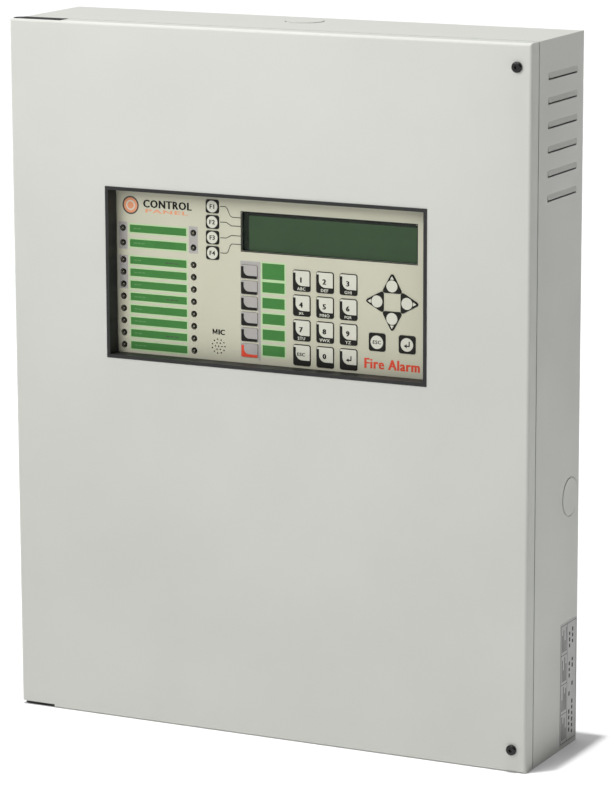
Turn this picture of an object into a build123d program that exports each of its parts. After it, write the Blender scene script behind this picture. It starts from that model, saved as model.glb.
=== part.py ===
from build123d import *
from math import cos, pi, radians, sin, tan
import os

# Wall-mounted fire alarm control panel. Millimetres, +Z up, the front faces -Y.
# The origin is the centre of the four wall-mounting holes, on the outside of the back wall.

# --- enclosure: driving dimensions -------------------------------------------------------
height = 500.0
cover_width = 398.0
depth = 92.0                    # wall face to the cover's front face
sheet = 1.2                     # folded sheet steel
bend_radius = 2.0               # outside radius of a fold
cover_flange = 12.0
hinge_side_flange = 10.0        # shorter, so that it swings clear of the box
cover_gap = 1.5                 # reveal between the cover's flanges and the box
hinge_overhang = 5.0            # the cover stands past the box on the hinge side
lip_width = 14.0                # return lip round the box's mouth
lock_lip_width = 20.0           # wider lip that carries the nuts of the cover screws
upstand_inset = 3.0             # dust upstand inside the cover's flanges
upstand_height = 8.0
mount_spacing_x = 320.0
mount_spacing_z = 420.0
mount_hole_r = 3.0

# --- hinge ---------------------------------------------------------------------------------
hinge_setback = 7.0             # pin centre behind the cover's front face
pin_r = 2.0
pin_running_clearance = 0.05
pin_seat_clearance = 0.02
bracket_thickness = 3.0
bracket_nose_r = 4.8
bracket_length = 35.0
bracket_leaf_height = 14.0
bracket_leaf_thickness = 1.5
ear_thickness = 1.5
ear_gap = 0.4
corner_notch = 2.5              # lower left corner of the cover, in front of the bracket
corner_notch_length = 27.0

# --- cover screws --------------------------------------------------------------------------
screw_inset_x = 10.4
screw_inset_z = 16.0
screw_r = 2.0
screw_head_r = 3.7
screw_head_height = 2.2
screw_socket_flats = 2.5
screw_socket_depth = 1.3
screw_travel = 6.0              # how far a screw backs out before its washer stops it
screw_slack = 0.25              # in the cover's hole
nut_slack = 0.4                 # in the nut, so that the cover swings past the thread
nut_length = 5.0
nut_r = 4.5
washer_r = 4.5
washer_thickness = 1.0
seat_gap = 0.05

# --- ventilation and knockouts ---------------------------------------------------------------
louvre_count = 6
louvre_pitch = 16.4
louvre_length = 50.0
louvre_from_top = 26.0
louvre_from_back = 13.0
louvre_proud = 0.8
louvre_rise = 4.0
louvre_slot = 1.4
knockout_r = 14.0
knockout_groove = 0.8
knockout_groove_depth = 0.7
knockout_proud = 0.3
side_knockout_from_back = 17.2
side_knockout_z_from_bottom = 179.0
top_knockout_from_back = 26.0
top_knockout_x = 0.0
label_width = 29.0
label_height = 88.0
label_thickness = 0.2
label_from_edges = 2.4

# --- window and its trim -----------------------------------------------------------------------
window_width = 247.5            # outside of the trim's rim
window_height = 122.0
window_from_top = 114.5
rim_overlap = 0.8
rim_proud = 0.5
trim_wall = 1.5
trim_clearance = 0.15
snap_ridge = 0.7
console_recess = 12.5           # overlay's front face behind the cover's front face
trim_to_overlay = 1.3

# --- console -----------------------------------------------------------------------------------
overlay_thickness = 0.8
overlay_margin = 3.0            # overlay beyond the window on each side
chassis_margin = 12.0           # front plate of the chassis beyond the window
chassis_foot = 14.0
board_gap = 5.5                 # chassis plate to console board
pcb = 1.6
key_proud = 0.6
key_thickness = 0.85
key_travel = 0.5
key_clearance = 0.15
plunger_r = 1.5
plunger_clearance = 0.4
switch_side = 6.0
switch_body = 3.5
switch_button_r = 1.7
switch_button = 0.7
led_r = 1.5
led_clearance = 0.25
led_proud = 0.3
insert_clearance = 0.1
insert_thickness = 0.6

# places on the console: x from the panel's centre, z from the window's centre
led_columns = (-116.8, -60.8)
led_rows = [30.2, 19.8] + [7.6 - 8.7 * i for i in range(8)]
strip_centre_x = -88.9
strip_size = (44.9, 5.3)
function_key_x = -45.6
function_key_top_z = 49.9
function_key_pitch = 10.9
function_key_size = (10.2, 9.4)
zone_key_x = -17.1
zone_key_top_z = 5.9
zone_key_pitch = 11.1
zone_key_size = (12.9, 9.7)
zone_label_x = 1.6
zone_label_width = 17.2
zone_label_tall = 11.2
zone_label_low = 7.3
zone_label_top_z = 7.2
zone_label_pitch = 11.15
keypad_x = (23.5, 41.4, 59.3)
keypad_top_z = 2.6
keypad_pitch_z = 17.4
keypad_key_size = (13.3, 14.8)
arrow_centre = (92.3, -7.3)
arrow_offset = 11.1
arrow_reach = 21.0              # apex of an arrow key from the cluster's centre
arrow_base = 6.4                # base line of an arrow key from the cluster's centre
arrow_half_base = 8.0
arrow_corner_r = 1.6
command_key_x = (81.0, 103.6)
command_key_z = -35.7
command_key_side = 12.5
key_corner_r = 1.6
display_centre = (43.9, 33.9)
display_size = (133.8, 27.2)
display_pane = (140.0, 33.0, 0.9)
display_module_size = (146.0, 40.0)
microphone_place = (-41.6, -48.6)
microphone_r = 4.85
microphone_hole_r = 0.55
buzzer_place = (-95.0, -25.0)
buzzer_r = 12.0
buzzer_length = 9.5
console_post_x = 121.5
console_post_z = 57.5

# --- boards and fasteners ------------------------------------------------------------------------
post_r = 2.75
small_screw_r = 1.5
small_screw_clearance = 0.1
small_head_r = 2.9
small_head_height = 2.0
main_board_width = 240.0
main_board_height = 210.0
main_board_top = 75.5           # above the window's centre
main_board_post_inset = 6.0
main_board_standoff = 11.2
terminal_size = (34.0, 11.0, 12.0)
terminal_count = 6
terminal_pitch = 37.0

# --- power -----------------------------------------------------------------------------------------
battery_width = 151.0
battery_depth = 65.0
battery_height = 94.0
battery_spacing = 6.0
battery_from_back = 5.0
battery_from_hinge_side = 7.8
tab_height = 8.0
tab_inset = 15.5
supply_size = (110.0, 40.0, 64.0)
supply_below_board = 18.0       # leaves room for the wires that enter the board's terminals
lead_r = 1.5

# --- places that follow from the sizes above ----------------------------------------------------------
top, bottom = height / 2, -height / 2
cover_left, cover_right = -cover_width / 2, cover_width / 2
cover_front = -depth
cover_inside = cover_front + sheet
box_left, box_right = cover_left + hinge_overhang, cover_right
box_front = cover_front + cover_flange + cover_gap
wall_inside = -sheet            # inner face of the back wall
hinge_x, hinge_y = box_left, cover_front + hinge_setback
window_z = top - window_from_top - window_height / 2
overlay_front = cover_front + console_recess
overlay_back = overlay_front + overlay_thickness
chassis_back = overlay_back + sheet
console_pcb_front = chassis_back + board_gap
console_pcb_back = console_pcb_front + pcb
key_front = overlay_front - key_proud
key_back = key_front + key_thickness
switch_top = console_pcb_front - switch_body - switch_button
plunger_end = switch_top - key_travel - seat_gap
main_pcb_back = wall_inside - main_board_standoff
main_pcb_front = main_pcb_back - pcb
main_board_low = window_z + main_board_top - main_board_height
screw_x = cover_right - screw_inset_x
window_opening = (window_width - 2 * rim_overlap, window_height - 2 * rim_overlap)
trim_outside = tuple(side - 2 * trim_clearance for side in window_opening)
trim_inside = tuple(side - 2 * trim_wall for side in trim_outside)


def block(x, y, z):
    """A box from three (low, high) pairs."""
    size = [high - low for low, high in (x, y, z)]
    centre = [(low + high) / 2 for low, high in (x, y, z)]
    return Pos(*centre) * Box(*size)


def slab(sketch, y_front, y_back):
    """A front-view sketch (x, z) as a plate from y_front to y_back."""
    return extrude(Plane.XZ.offset(-y_back) * sketch, amount=y_back - y_front)


def rod(x, z, y_front, y_back, radius):
    """A round bar along Y."""
    return slab(Pos(x, z) * Circle(radius), y_front, y_back)


def post(x, y, z_low, z_high, radius):
    """A round bar along Z."""
    return Pos(x, y, (z_low + z_high) / 2) * Cylinder(radius, z_high - z_low)


def tube(x, z, y_front, y_back, radius, bore):
    return rod(x, z, y_front, y_back, radius) - rod(x, z, y_front, y_back, bore)


def rounded(size, radius=key_corner_r):
    return RectangleRounded(size[0], size[1], radius)


def console_at(x, z):
    """A place on the console, given from the window's centre."""
    return Pos(x, window_z + z)


# --- where the keys, lamps and label strips are -------------------------------------------------------
def arrow_outline(turn):
    """Rounded triangle that points up when turn is 0, from the cluster's centre."""
    corners = [(0, arrow_reach), (-arrow_half_base, arrow_base), (arrow_half_base, arrow_base)]
    shape = Polygon(*corners, align=None)
    return Rot(0, 0, turn) * fillet(shape.vertices(), arrow_corner_r)


def key_table():
    """Every key: name, plunger place (x, z from the window's centre) and outline in place."""
    keys = []
    for i in range(4):
        place = (function_key_x, function_key_top_z - i * function_key_pitch)
        keys.append((f"function_key_{i + 1}", place, console_at(*place) * rounded(function_key_size)))
    for i in range(6):
        place = (zone_key_x, zone_key_top_z - i * zone_key_pitch)
        keys.append((f"zone_key_{i + 1}", place, console_at(*place) * rounded(zone_key_size, 1.0)))
    names = [f"digit_key_{n}" for n in range(1, 10)] + ["keypad_escape_key", "digit_key_0", "keypad_enter_key"]
    for n, name in enumerate(names):
        place = (keypad_x[n % 3], keypad_top_z - (n // 3) * keypad_pitch_z)
        keys.append((name, place, console_at(*place) * rounded(keypad_key_size)))
    for turn, name in ((0, "up"), (90, "left"), (180, "down"), (270, "right")):
        place = (arrow_centre[0] - arrow_offset * sin(radians(turn)),
                 arrow_centre[1] + arrow_offset * cos(radians(turn)))
        keys.append((f"arrow_{name}_key", place, console_at(*arrow_centre) * arrow_outline(turn)))
    for x, name in zip(command_key_x, ("escape_key", "enter_key")):
        place = (x, command_key_z)
        keys.append((name, place, console_at(*place) * rounded((command_key_side, command_key_side))))
    return keys


def label_outlines(clearance=0.0):
    """The ten status strips and six zone labels, less a clearance all round."""
    outlines = []
    for z in led_rows:
        size = Rectangle(strip_size[0] - 2 * clearance, strip_size[1] - 2 * clearance)
        outlines.append(console_at(strip_centre_x, z) * size)
    for i in range(6):
        tall = zone_label_tall if i == 0 else zone_label_low
        z = zone_label_top_z if i == 0 else -4.05 - (i - 1) * zone_label_pitch
        size = Rectangle(zone_label_width - 2 * clearance, tall - 2 * clearance)
        outlines.append(console_at(zone_label_x, z) * size)
    return outlines


def led_places():
    return [(x, z) for x in led_columns for z in led_rows]


def microphone_holes():
    places = [(0.0, 0.0)]
    for count, radius in ((6, 2.6), (11, 5.0)):
        places += [(radius * cos(2 * pi * i / count), radius * sin(2 * pi * i / count)) for i in range(count)]
    x, z = microphone_place
    return [console_at(x + dx, z + dz) * Circle(microphone_hole_r) for dx, dz in places]


# --- the cover and what it carries ---------------------------------------------------------------------
def front_cover():
    outside = block((cover_left, cover_right), (cover_front, cover_front + cover_flange), (bottom, top))
    outside = fillet(outside.faces().sort_by(Axis.Y)[0].edges(), bend_radius)
    inside = block((cover_left + sheet, cover_right - sheet), (cover_inside, 0), (bottom + sheet, top - sheet))
    inside = fillet(inside.faces().sort_by(Axis.Y)[0].edges(), bend_radius - sheet)
    cover = outside - inside
    # the hinge side has a shorter flange, and both hinge corners are open for the brackets
    cover -= block((cover_left - 1, cover_left + bend_radius), (cover_front + hinge_side_flange, 0), (bottom, top))
    bracket_end = hinge_x + bracket_length + 1
    for side in (-1, 1):
        z_edge, z_in = side * (height / 2 + 1), side * (height / 2 - bracket_thickness - ear_gap)
        cover -= block((cover_left - 1, bracket_end), (cover_inside, 0), sorted((z_in, z_edge)))
        ear_far = z_in - side * ear_thickness
        ear = post(hinge_x, hinge_y, min(z_in, ear_far), max(z_in, ear_far), bracket_nose_r)
        ear += block((cover_left + sheet / 2, hinge_x), (hinge_y - bracket_nose_r, hinge_y + 1),
                     sorted((z_in, ear_far)))
        ear -= post(hinge_x, hinge_y, -height, height, pin_r + pin_running_clearance)
        cover += ear
    cover -= block((cover_left - 1, cover_left + corner_notch_length), (cover_front - 1, 0),
                   (bottom - 1, bottom + corner_notch))
    cover -= slab(Pos(0, window_z) * Rectangle(*window_opening), cover_front - 1, 0)
    for z in screw_heights():
        cover -= rod(screw_x, z, cover_front - 1, 0, screw_r + screw_slack)
    return cover


def window_trim():
    ridge_size = [side + 2 * (snap_ridge - trim_clearance) for side in window_opening]
    back = overlay_front - trim_to_overlay
    place = Pos(0, window_z)
    trim = slab(place * Rectangle(*trim_outside), cover_front - rim_proud, back)
    trim += slab(place * Rectangle(window_width, window_height), cover_front - rim_proud, cover_front)
    trim += slab(place * Rectangle(*ridge_size), cover_inside + seat_gap, cover_inside + 1)
    return trim - slab(place * Rectangle(*trim_inside), cover_front - 1, back + 1)


def screw_heights():
    return (top - screw_inset_z, bottom + screw_inset_z)


def cover_screw(z):
    tip = box_front + sheet + nut_length
    under_head = cover_front - seat_gap
    head = rod(screw_x, z, under_head - screw_head_height, under_head, screw_head_r)
    head = fillet(head.edges().group_by(Axis.Y)[0], 1.2)
    shank = rod(screw_x, z, under_head, tip, screw_r)
    shank = chamfer(shank.edges().group_by(Axis.Y)[-1], 0.6)
    socket = RegularPolygon(screw_socket_flats / 2, 6, major_radius=False)
    recess = slab(Pos(screw_x, z) * socket, under_head - screw_head_height - 1,
                  under_head - screw_head_height + screw_socket_depth)
    return head + shank - recess


def screw_washer(z):
    front = cover_inside + screw_travel + seat_gap
    return tube(screw_x, z, front, front + washer_thickness, washer_r, screw_r + pin_running_clearance)


# --- the box ----------------------------------------------------------------------------------------------
def mount_places():
    return [(sx * mount_spacing_x / 2, sz * mount_spacing_z / 2) for sx in (-1, 1) for sz in (-1, 1)]


def louvre_cut_and_ridge(side, z):
    """One pressed louvre: a ridge outside the wall, and the slot under it."""
    wall = box_right if side > 0 else box_left
    y = (-louvre_from_back - louvre_length, -louvre_from_back)
    outline = Polygon((wall - side * 0.1, z + louvre_rise), (wall + side * louvre_proud, z),
                      (wall - side * 0.1, z), align=None)
    ridge = extrude(Plane.XZ.offset(-y[1]) * outline, amount=louvre_length, dir=(0, -1, 0))
    slot = block(sorted((wall - side * 2 * sheet, wall + side * 0.01)), y, (z - louvre_slot, z))
    return ridge, slot


def knockout(centre, direction):
    """Ring groove and slightly raised disc of a half-pierced knockout."""
    face = Plane(origin=centre, z_dir=direction)
    disc = extrude(face * Circle(knockout_r - knockout_groove), amount=knockout_proud)
    ring = Circle(knockout_r) - Circle(knockout_r - knockout_groove)
    groove = extrude(face * ring, amount=-knockout_groove_depth)
    return disc, groove


def back_box():
    box = block((box_left, box_right), (box_front, 0), (bottom, top))
    box = fillet(box.faces().sort_by(Axis.Y)[-1].edges(), bend_radius)
    inside = block((box_left + sheet, box_right - sheet), (box_front + sheet, wall_inside),
                   (bottom + sheet, top - sheet))
    box -= fillet(inside.faces().sort_by(Axis.Y)[-1].edges(), bend_radius - sheet)
    box -= block((box_left + lip_width, box_right - lock_lip_width), (box_front - 1, box_front + 2 * sheet),
                 (bottom + lip_width, top - lip_width))
    box += upstand()
    for x, z in mount_places():
        box -= rod(x, z, -10, 1, mount_hole_r)
    for x, z in foot_places():
        box -= rod(x, z, -10, 1, small_screw_r + small_screw_clearance)
    for z in screw_heights():
        box -= rod(screw_x, z, box_front - 1, box_front + 2 * sheet, screw_r + nut_slack)
    for side in (-1, 1):
        for i in range(louvre_count):
            ridge, slot = louvre_cut_and_ridge(side, top - louvre_from_top - i * louvre_pitch)
            box = box + ridge - slot
    for centre, direction in knockout_places():
        disc, groove = knockout(centre, direction)
        box = box + disc - groove
    return box


def upstand():
    """Dust upstand that stands inside the cover's flanges, on three sides."""
    outer = upstand_inset
    inner = upstand_inset + sheet
    y = (box_front - upstand_height, box_front + sheet)
    start = hinge_x + bracket_length + 4
    frame = block((start, box_right - outer), y, (bottom + outer, top - outer))
    frame -= block((start - 1, box_right - inner), (y[0] - 1, y[1] + 1), (bottom + inner, top - inner))
    return frame


def knockout_places():
    return [((box_right, -side_knockout_from_back, bottom + side_knockout_z_from_bottom), (1, 0, 0)),
            ((top_knockout_x, -top_knockout_from_back, top), (0, 0, 1))]


def hinge_brackets():
    """Two plastic brackets: a nose that holds the pin, and a leaf on the box's lip."""
    pair = []
    for side in (-1, 1):
        outer, inner = side * height / 2, side * (height / 2 - bracket_thickness)
        z = sorted((outer, inner))
        nose = post(hinge_x, hinge_y, z[0], z[1], bracket_nose_r)
        arm = block((hinge_x, hinge_x + bracket_length), (hinge_y - bracket_nose_r, box_front), z)
        leaf = block((hinge_x + 7, hinge_x + bracket_length), (box_front - bracket_leaf_thickness, box_front),
                     sorted((outer, outer - side * bracket_leaf_height)))
        hole = post(hinge_x, hinge_y, -height, height, pin_r + pin_seat_clearance)
        pair.append(nose + arm + leaf - hole)
    return Compound(children=pair)


def hinge_pins():
    reach = bracket_thickness + ear_gap + ear_thickness + 2
    pins = []
    for side in (-1, 1):
        z = sorted((side * (height / 2 - 0.1), side * (height / 2 - reach)))
        pins.append(post(hinge_x, hinge_y, z[0], z[1], pin_r))
    return Compound(children=pins)


def clinch_fasteners():
    """The two nuts of the cover screws, and the earth stud."""
    nuts = [tube(screw_x, z, box_front + sheet, box_front + sheet + nut_length, nut_r, screw_r + nut_slack)
            for z in screw_heights()]
    stud_x, stud_z = box_right - 30, bottom + side_knockout_z_from_bottom - 40
    stud = rod(stud_x, stud_z, wall_inside - 14, wall_inside, 2.5) + rod(stud_x, stud_z, wall_inside - 5,
                                                                        wall_inside, 4.5)
    return Compound(children=nuts + [stud])


def rating_label():
    y = (-label_from_edges - label_width, -label_from_edges)
    z = (bottom + label_from_edges, bottom + label_from_edges + label_height)
    return block((box_right, box_right + label_thickness), y, z)


# --- the console --------------------------------------------------------------------------------------------
def membrane_overlay(keys):
    sheet_outline = Pos(0, window_z) * Rectangle(window_width + 2 * overlay_margin,
                                                 window_height + 2 * overlay_margin)
    holes = [offset(outline, key_clearance) for _, _, outline in keys]
    holes += label_outlines()
    holes += [console_at(x, z) * Circle(led_r + led_clearance) for x, z in led_places()]
    holes += microphone_holes()
    holes.append(console_at(*display_centre) * rounded(display_size, 1.0))
    return slab(sheet_outline - holes, overlay_front, overlay_back)


def foot_places():
    x = window_width / 2 + chassis_margin + chassis_foot / 2
    return [(side * x, window_z + dz) for side in (-1, 1) for dz in (-55, 55)]


def console_chassis(keys):
    """Folded steel bridge: front plate, two legs and two feet on the back wall."""
    half = window_width / 2 + chassis_margin
    z = (window_z - window_height / 2 - 10.5, window_z + window_height / 2 + 10.5)
    chassis = block((-half, half), (overlay_back, chassis_back), z)
    for side in (-1, 1):
        chassis += block(sorted((side * half, side * (half - sheet))), (overlay_back, wall_inside), z)
        chassis += block(sorted((side * (half - sheet), side * (half + chassis_foot))),
                         (wall_inside - sheet, wall_inside), z)
    holes = [console_at(*place) * Circle(plunger_r + plunger_clearance) for _, place, _ in keys]
    holes += [console_at(x, z) * Circle(led_r + led_clearance) for x, z in led_places()]
    holes += microphone_holes()
    holes.append(console_at(*display_centre) * rounded(display_size, 1.0))
    for hole in holes:
        chassis -= slab(hole, overlay_back - 1, chassis_back + 1)
    for x, z in foot_places():
        chassis -= rod(x, z, wall_inside - 2 * sheet, wall_inside + 1, small_screw_r + small_screw_clearance)
    return chassis


def key_cap(place, outline):
    x, z = place
    cap = slab(outline, key_front, key_back)
    return cap + rod(x, window_z + z, key_back, plunger_end, plunger_r)


def label_inserts():
    return Compound(children=[slab(outline, overlay_back - insert_thickness, overlay_back)
                              for outline in label_outlines(insert_clearance)])


def status_leds():
    lamps = []
    for x, z in led_places():
        lamp = rod(x, window_z + z, overlay_front - led_proud, console_pcb_front, led_r)
        lamps.append(fillet(lamp.edges().group_by(Axis.Y)[0], led_r * 0.8))
    return Compound(children=lamps)


def display_window():
    width, tall, thick = display_pane
    place = console_at(*display_centre)
    return slab(place * Rectangle(width, tall), chassis_back, chassis_back + thick)


def display_module():
    front = chassis_back + display_pane[2]
    return slab(console_at(*display_centre) * Rectangle(*display_module_size), front, console_pcb_front)


def console_posts():
    return [(sx * console_post_x, window_z + sz * console_post_z) for sx in (-1, 1) for sz in (-1, 1)]


def console_board():
    board = slab(Pos(0, window_z) * Rectangle(window_width + 2, window_height + 2), console_pcb_front,
                 console_pcb_back)
    for x, z in console_posts():
        board -= rod(x, z, console_pcb_front - 1, console_pcb_back + 1, small_screw_r + small_screw_clearance)
    return board


def key_switches(keys):
    switches = []
    for _, (x, z), _ in keys:
        body = slab(console_at(x, z) * Rectangle(switch_side, switch_side), console_pcb_front - switch_body,
                    console_pcb_front)
        switches.append(body + rod(x, window_z + z, switch_top, console_pcb_front - switch_body, switch_button_r))
    return Compound(children=switches)


def buzzer():
    x, z = buzzer_place
    can = rod(x, window_z + z, console_pcb_back, console_pcb_back + buzzer_length, buzzer_r)
    return can - rod(x, window_z + z, console_pcb_back + buzzer_length - 2, console_pcb_back + buzzer_length + 1, 1.6)


def microphone():
    x, z = microphone_place
    return rod(x, window_z + z, console_pcb_front - 5, console_pcb_front, microphone_r)


def ribbon_cable():
    """Flat ribbon from the back of the console board to the main board."""
    width, thick, x = 25.0, 1.0, -47.5
    high, low = window_z - 38, window_z - 66
    span = main_pcb_front - console_pcb_back
    corners = [(console_pcb_back, high), (console_pcb_back + 0.33 * span, high),
               (main_pcb_front - 0.33 * span, low), (main_pcb_front, low)]
    run = FilletPolyline(*corners, radius=14)
    flat = trace(run, thick)
    return extrude(Plane.YZ.offset(x - width / 2) * flat, amount=width)


# --- the main board ----------------------------------------------------------------------------------------------
def main_board_posts():
    x = main_board_width / 2 - main_board_post_inset
    low = main_board_low + main_board_post_inset
    rise = main_board_height / 2 - main_board_post_inset
    return [(side * x, low + i * rise) for side in (-1, 1) for i in range(3)]


def main_board():
    half = main_board_width / 2
    board = block((-half, half), (main_pcb_front, main_pcb_back), (main_board_low, main_board_low + main_board_height))
    for x, z in main_board_posts():
        board -= rod(x, z, main_pcb_front - 1, main_pcb_back + 1, small_screw_r + small_screw_clearance)
    return board


def board_standoffs():
    bore = small_screw_r + small_screw_clearance
    posts = [tube(x, z, main_pcb_back, wall_inside, post_r, bore) for x, z in main_board_posts()]
    posts += [tube(x, z, chassis_back, console_pcb_front, post_r, bore) for x, z in console_posts()]
    return Compound(children=posts)


def small_screw(x, z, seat, way, length):
    """Pan-head screw whose head sits on y = seat and whose shank runs towards way."""
    head = rod(x, z, *sorted((seat, seat - way * small_head_height)), small_head_r)
    head = fillet(head.edges().group_by(Axis.Y)[0 if way > 0 else -1], 0.8)
    return head + rod(x, z, *sorted((seat, seat + way * length)), small_screw_r)


def board_screws():
    screws = [small_screw(x, z, main_pcb_front, 1, 8) for x, z in main_board_posts()]
    screws += [small_screw(x, z, console_pcb_back, -1, 6) for x, z in console_posts()]
    screws += [small_screw(x, z, wall_inside - sheet, 1, 2 * sheet - 0.2) for x, z in foot_places()]
    return Compound(children=screws)


def terminal_x(i):
    return (i - (terminal_count - 1) / 2) * terminal_pitch


def terminal_blocks():
    width, deep, tall = terminal_size
    blocks = []
    for i in range(terminal_count):
        x = terminal_x(i)
        one = block((x - width / 2, x + width / 2), (main_pcb_front - deep, main_pcb_front),
                    (main_board_low, main_board_low + tall))
        for n in range(6):
            screw_place = x + (n - 2.5) * width / 6.4
            one -= rod(screw_place, main_board_low + tall * 0.55, main_pcb_front - deep - 1,
                       main_pcb_front - deep + 1.5, 1.8)
        blocks.append(one)
    return Compound(children=blocks)


def board_components():
    """Relays, processor, memories and capacitors on the main board."""
    face = main_pcb_front
    pieces = []
    for i in range(4):
        x, z = -95 + i * 24, main_board_low + 34
        pieces.append(block((x - 9.5, x + 9.5), (face - 15, face), (z - 8, z + 8)))
    for x, z, wide, tall in ((40, 60, 28, 28), (85, 60, 20, 12), (85, 90, 20, 12), (40, 110, 12, 18)):
        pieces.append(block((x - wide / 2, x + wide / 2), (face - 3, face),
                            (main_board_low + z - tall / 2, main_board_low + z + tall / 2)))
    for i in range(3):
        pieces.append(rod(-90 + i * 22, main_board_low + 150, face - 16, face, 6.5))
    return Compound(children=pieces)


# --- power ---------------------------------------------------------------------------------------------------------
def battery_low_x():
    first = box_left + sheet + battery_from_hinge_side
    return (first, first + battery_width + battery_spacing)


def battery(x_low):
    z = (bottom + sheet, bottom + sheet + battery_height)
    y = (-battery_from_back - battery_depth, -battery_from_back)
    case = block((x_low, x_low + battery_width), y, z)
    case = fillet(case.edges().filter_by(Axis.Z), 3)
    for x in tab_places(x_low):
        case += block((x - 3.15, x + 3.15), (tab_y() - 0.4, tab_y() + 0.4), (z[1] - 0.5, z[1] + tab_height))
    return case


def tab_places(x_low):
    return (x_low + tab_inset, x_low + battery_width - tab_inset)


def tab_y():
    return -battery_from_back - battery_depth + tab_inset


def supply_places():
    left = box_left + sheet + battery_from_hinge_side
    low = main_board_low - supply_below_board - supply_size[2]
    return left, low


def power_supply():
    left, low = supply_places()
    width, deep, tall = supply_size
    case = block((left, left + width), (wall_inside - deep, wall_inside), (low, low + tall))
    case = chamfer(case.faces().sort_by(Axis.Y)[0].edges(), 0.8)
    for i in range(9):
        x = left + 15 + i * 10
        case -= block((x - 1.5, x + 1.5), (wall_inside - deep - 1, wall_inside - deep + 1.2),
                      (low + 10, low + tall - 10))
    return case


def mains_terminal_block():
    left, low = supply_places()
    x = left + supply_size[0] + 6
    z = low + 8
    one = block((x, x + 30), (wall_inside - 18, wall_inside), (z, z + 18))
    for n in range(3):
        one -= rod(x + 5 + n * 10, z + 9, wall_inside - 19, wall_inside - 15, 2.6)
    return one


def lead(points):
    """Round lead along straight runs joined by arcs as large as the runs allow."""
    points = [Vector(*p) for p in points]
    radii = []
    for before, corner, after in zip(points, points[1:], points[2:]):
        turn = radians((corner - before).get_angle(after - corner))
        shorter = min((corner - before).length, (after - corner).length)
        radii.append(0.45 * shorter / tan(turn / 2))
    print("lead radii", [round(r, 1) for r in radii])
    path = FilletPolyline(*points, radius=radii)
    return sweep(Plane(origin=points[0], z_dir=points[1] - points[0]) * Circle(lead_r), path=path)


def power_leads():
    """Battery link, two battery leads and the supply's lead."""
    z = bottom + sheet + battery_height + tab_height
    y = tab_y()
    left_far, left_near = tab_places(battery_low_x()[0])
    right_near, right_far = tab_places(battery_low_x()[1])
    board = main_board_low
    entry_y = main_pcb_front - terminal_size[1] / 2
    supply_left, supply_low = supply_places()
    supply_end = supply_left + supply_size[0]
    first, second, third = terminal_x(1) - 2.5, terminal_x(1) + 5.5, terminal_x(4) + 4
    link = [(left_near, y, z), (left_near, y, z + 13), (left_near + 12, y - 1, z + 24),
            (right_near - 12, y - 1, z + 24), (right_near, y, z + 13), (right_near, y, z)]
    battery_lead = [(left_far, y, z), (left_far, y, z + 28), (left_far + 20, y - 2, z + 50),
                    (left_far + 50, y - 1, z + 58), (supply_end - 16, y + 1, z + 60),
                    (supply_end + 8, y + 12, z + 60), (first, entry_y - 4, board - 24),
                    (first, entry_y, board - 12), (first, entry_y, board)]
    return_lead = [(right_far, y, z), (right_far, y, z + 26), (right_far - 12, y + 4, z + 48),
                   (right_far - 34, y + 18, z + 56), (third, entry_y - 3, board - 18),
                   (third, entry_y, board - 9), (third, entry_y, board)]
    supply_lead = [(supply_end, entry_y, board - 36), (second - 11, entry_y, board - 36),
                   (second - 2, entry_y, board - 27), (second, entry_y, board - 14), (second, entry_y, board)]
    return Compound(children=[lead(route) for route in (link, battery_lead, return_lead, supply_lead)])


def build():
    keys = key_table()
    z_screws = screw_heights()
    x_batteries = battery_low_x()
    nodes = {
        "front_cover": front_cover(),
        "window_trim": window_trim(),
        "upper_cover_screw": cover_screw(z_screws[0]),
        "lower_cover_screw": cover_screw(z_screws[1]),
        "upper_screw_washer": screw_washer(z_screws[0]),
        "lower_screw_washer": screw_washer(z_screws[1]),
        "console_chassis": console_chassis(keys),
        "membrane_overlay": membrane_overlay(keys),
        "label_inserts": label_inserts(),
        "status_leds": status_leds(),
        "display_window": display_window(),
        "display_module": display_module(),
        "console_board": console_board(),
        "key_switches": key_switches(keys),
        "buzzer": buzzer(),
        "microphone": microphone(),
        "ribbon_cable": ribbon_cable(),
        "back_box": back_box(),
        "hinge_brackets": hinge_brackets(),
        "hinge_pins": hinge_pins(),
        "clinch_fasteners": clinch_fasteners(),
        "rating_label": rating_label(),
        "main_board": main_board(),
        "board_standoffs": board_standoffs(),
        "board_screws": board_screws(),
        "terminal_blocks": terminal_blocks(),
        "board_components": board_components(),
        "power_supply": power_supply(),
        "mains_terminal_block": mains_terminal_block(),
        "battery_left": battery(x_batteries[0]),
        "battery_right": battery(x_batteries[1]),
        "power_leads": power_leads(),
    }
    for name, place, outline in keys:
        nodes[name] = key_cap(place, outline)
    return nodes


os.makedirs("parts", exist_ok=True)
for node_name, shape in build().items():
    export_step(shape, f"parts/{node_name}.step")
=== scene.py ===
# %% [markdown]
# # A wall-mounted fire alarm control panel
# The folded steel box, its hinged cover and the electronics come from CAD as fixed solids in metres.
# This notebook gives every one of them the finish of the real article, and adds what a CAD model leaves out:
# printed graphics, domed keys, chips and labels. New pieces are placed from the CAD boxes, because then nothing
# has to be fitted by eye.

# %% Load the frame
from math import pi, radians

import bmesh
import bpy
from mathutils import Matrix, Vector


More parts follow.
